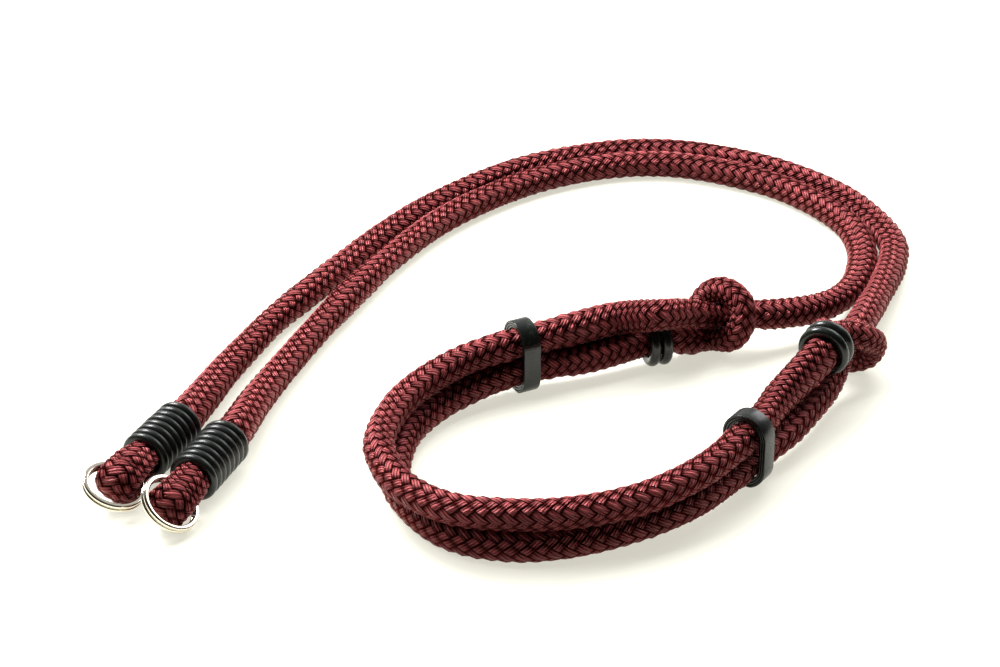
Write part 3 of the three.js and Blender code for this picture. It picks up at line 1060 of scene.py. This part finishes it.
def wornMaterial(name, surface):
    finish = finishes[name]
    material, nodes, links, shader = newMaterial(name)
    place = nodes.new("ShaderNodeTexCoord")
    skin = nodes.new("ShaderNodeGroup")
    skin.node_tree = surface
    inputs = {"Clean": "clean", "Worn": "worn", "Grain Scale": "grain", "Wear": "wear"}
    for socket, value in inputs.items():
        skin.inputs[socket].default_value = finish[value]
    links.new(place.outputs["Object"], skin.inputs["Vector"])
    links.new(skin.outputs["Color"], shader.inputs["Base Color"])
    rough = mapRange(nodes, links, skin.outputs["Wear Mask"], (0, 1), finish["rough"])
    height = skin.outputs["Height"]
    if finish["lines"]:
        uv = nodes.new("ShaderNodeMapping")
        uv.inputs["Scale"].default_value = finish["lines"]
        links.new(place.outputs["UV"], uv.inputs["Vector"])
        lines = addNoise(nodes, links, uv.outputs[0], 1.0, lineMarks["detail"], lineMarks["roughness"])
        height = joinMath(nodes, links, "MULTIPLY_ADD", lines, lineMarks["height"], height)
        rough = joinMath(nodes, links, "ADD", rough, lineMarks["smoothen"])
        rough = joinMath(nodes, links, "MULTIPLY_ADD", lines, lineMarks["roughen"], rough)
    links.new(rough, shader.inputs["Roughness"])
    addBump(nodes, links, shader, height, finish["bump"], finish["depth"])
    shader.inputs["Specular IOR Level"].default_value = finish["shine"]
    shader.inputs["Metallic"].default_value = finish["metallic"]
    return material


braidedRopes = [addRope(side) for side in ropes]
ropeLook = ropeMaterial()
for piece in braidedRopes:
    piece.data.materials.append(ropeLook)
print("rope material made")

wornSurface = surfaceGroup()
addWhippings(wornMaterial("whipping rubber", wornSurface))
print("whippings made")
addStopRings(wornMaterial("stop ring rubber", wornSurface))
addBands(wornMaterial("band rubber", wornSurface))
print("stop rings and bands made")
addSplitRings(wornMaterial("nickel wire", wornSurface))
print("split rings made")

# The studio is in metres
studio = {
    "floor": 6,
    "floorColor": (0.4, 0.4, 0.36, 1),
    "floorRoughness": 0.5,
    "floorShine": 0.25,
    "glow": 0.62,  # light from under the floor, which keeps the shadows pale
    "glowColor": (1, 0.985, 0.85, 1),
    "roomColor": (1, 1, 1, 1),
    "roomLight": (0.03, 0.7),  # the room is dark in front of the strap and light behind it
    "roomFade": (-0.1, 0.9),
}
lights = {
    "key": {
        "size": (0.35, 0.25),
        "power": 14,
        "at": (-0.5, 0.45, 0.7),
        "toward": (0, 0, 0),
        "glossy": True,
    },
    "overhead": {
        "size": (1.6, 0.5),
        "power": 20,
        "at": (-0.1, 0.25, 0.65),
        "toward": (0, 0.08, 0),
        "glossy": False,  # it isn't seen as a highlight
    },
    "fill": {
        "size": (0.6, 0.4),
        "power": 3,
        "at": (0.55, 0.6, 0.55),
        "toward": (0, 0, 0),
        "glossy": True,
    },
}


def addFloor():
    deselectAll()
    bpy.ops.mesh.primitive_plane_add(size=studio["floor"], location=(0, 0, 0))
    floor = bpy.context.object
    floor.name = "floor"
    material, nodes, links, shader = newMaterial("pale floor")
    shader.inputs["Base Color"].default_value = studio["floorColor"]
    shader.inputs["Roughness"].default_value = studio["floorRoughness"]
    shader.inputs["Specular IOR Level"].default_value = studio["floorShine"]
    shader.inputs["Emission Color"].default_value = studio["glowColor"]
    shader.inputs["Emission Strength"].default_value = studio["glow"]
    floor.data.materials.append(material)
    floor.visible_diffuse = False  # it throws no light up on the ropes


def addRoom():
    world = bpy.data.worlds.new("studio")
    bpy.context.scene.world = world
    world.use_nodes = True
    nodes, links = world.node_tree.nodes, world.node_tree.links
    way = nodes.new("ShaderNodeSeparateXYZ")
    links.new(nodes.new("ShaderNodeTexCoord").outputs["Generated"], way.inputs[0])
    strength = mapRange(nodes, links, way.outputs["Y"], studio["roomFade"], studio["roomLight"], smooth=True)
    nodes["Background"].inputs["Color"].default_value = studio["roomColor"]
    links.new(strength, nodes["Background"].inputs["Strength"])


def addLight(name):
    facts = lights[name]
    data = bpy.data.lights.new(name, "AREA")
    data.shape = "RECTANGLE"
    data.size, data.size_y = facts["size"]
    data.energy = facts["power"]
    light = bpy.data.objects.new(name, data)
    bpy.context.scene.collection.objects.link(light)
    light.location = facts["at"]
    way = Vector(facts["toward"]) - Vector(facts["at"])
    light.rotation_euler = way.to_track_quat("-Z", "Y").to_euler()
    light.visible_camera = False
    light.visible_glossy = facts["glossy"]


addFloor()
addRoom()
for name in lights:
    addLight(name)
bpy.context.scene.view_settings.view_transform = "Standard"
print("studio lit")
